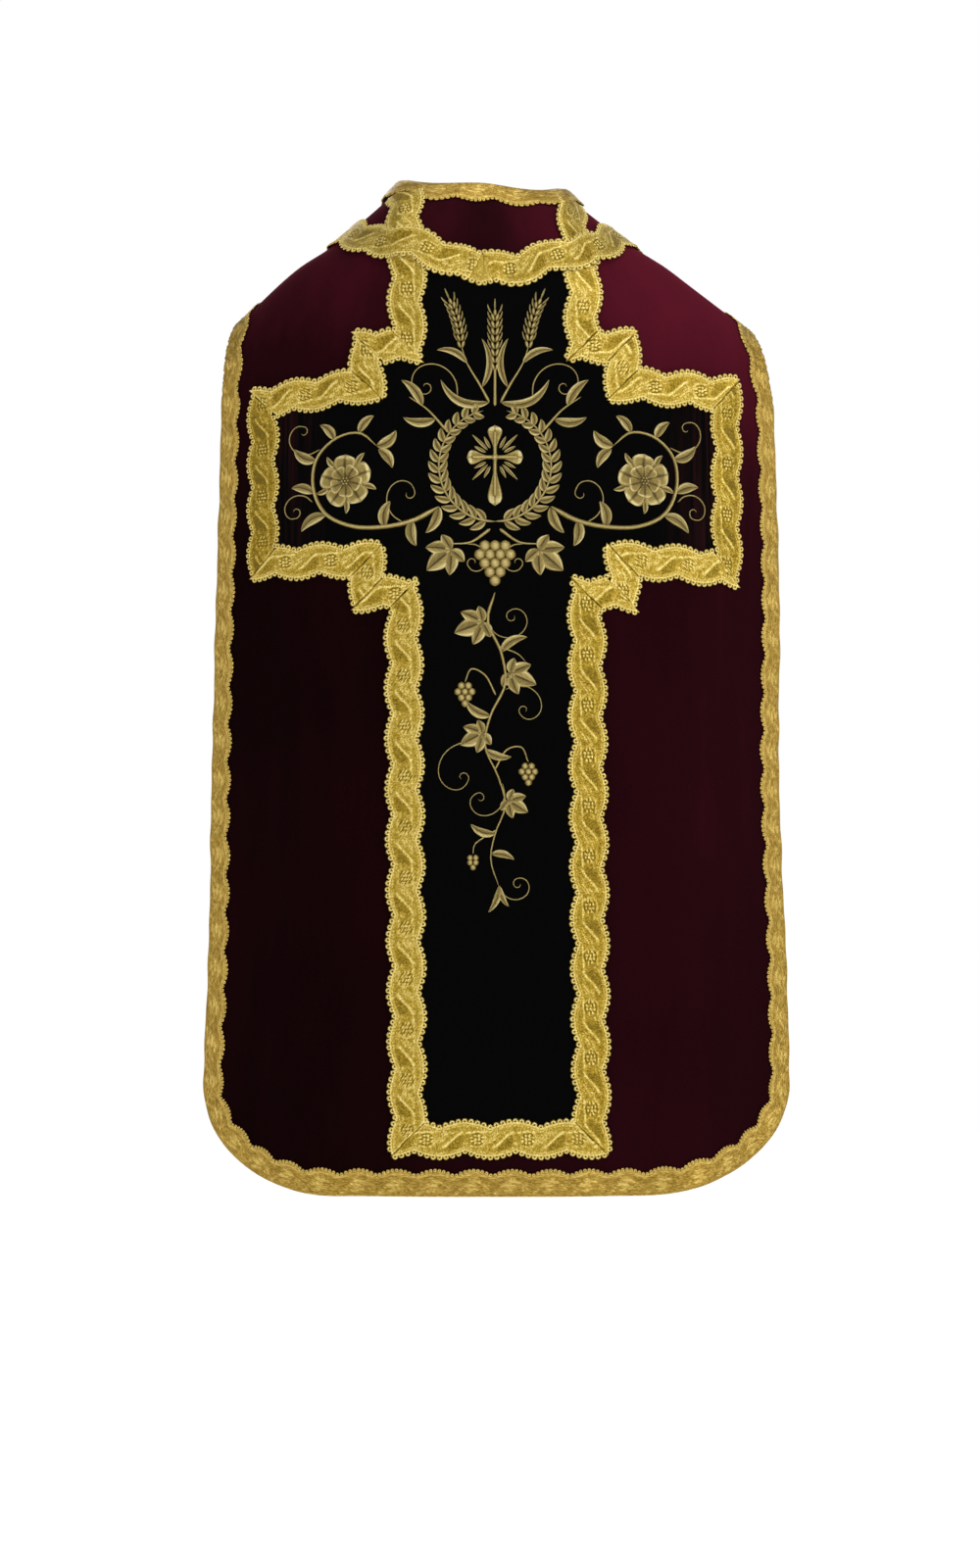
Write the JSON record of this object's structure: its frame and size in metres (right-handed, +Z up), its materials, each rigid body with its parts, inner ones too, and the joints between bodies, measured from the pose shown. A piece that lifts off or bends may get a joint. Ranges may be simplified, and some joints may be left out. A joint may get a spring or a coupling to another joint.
{
  "type": "roman chasuble",
  "caption": "Sleeveless fiddle-shaped vestment hanging as worn, open at the sides and neck, with a wide back bearing a stepped cross framed in scalloped galloon.",
  "frame": {"origin": "middle of the shoulders at the base of the neck, where the wearer carries the garment", "axes": "+Z up; the garment's back faces -Y and the wearer faces +Y; the wearer's left is at -X"},
  "size_m": [0.6395, 0.2763, 1.1049],
  "materials": {
    "wine_velvet": "deep wine-red silk velvet with a soft sheen",
    "dark_velvet": "near-black velvet, worn a little red in the arms",
    "gold_galloon": "woven metal-thread galloon, satin gold",
    "old_gold_galloon": "narrower woven galloon, duller old gold"
  },
  "bodies": {
    "root": {"back_panel": "wine_velvet", "front_panel": "wine_velvet", "cross_panel": "dark_velvet", "galloon_pillar_top_left": "gold_galloon", "galloon_pillar_top_right": "gold_galloon", "galloon_step_upper_left": "gold_galloon", "galloon_step_upper_right": "gold_galloon", "galloon_step_upper_side_left": "gold_galloon", "galloon_step_upper_side_right": "gold_galloon", "galloon_arm_upper_left": "gold_galloon", "galloon_arm_upper_right": "gold_galloon", "galloon_arm_end_left": "gold_galloon", "galloon_arm_end_right": "gold_galloon", "galloon_arm_lower_left": "gold_galloon", "galloon_arm_lower_right": "gold_galloon", "galloon_step_lower_side_left": "gold_galloon", "galloon_step_lower_side_right": "gold_galloon", "galloon_step_lower_left": "gold_galloon", "galloon_step_lower_right": "gold_galloon", "galloon_pillar_side_left": "gold_galloon", "galloon_pillar_side_right": "gold_galloon", "galloon_foot": "gold_galloon", "band_left": "gold_galloon", "band_right": "gold_galloon", "neck_strip_left": "gold_galloon", "neck_strip_right": "gold_galloon", "binding_back": "old_gold_galloon", "binding_front": "old_gold_galloon", "binding_neck": "old_gold_galloon"}
  },
  "joints": []
}
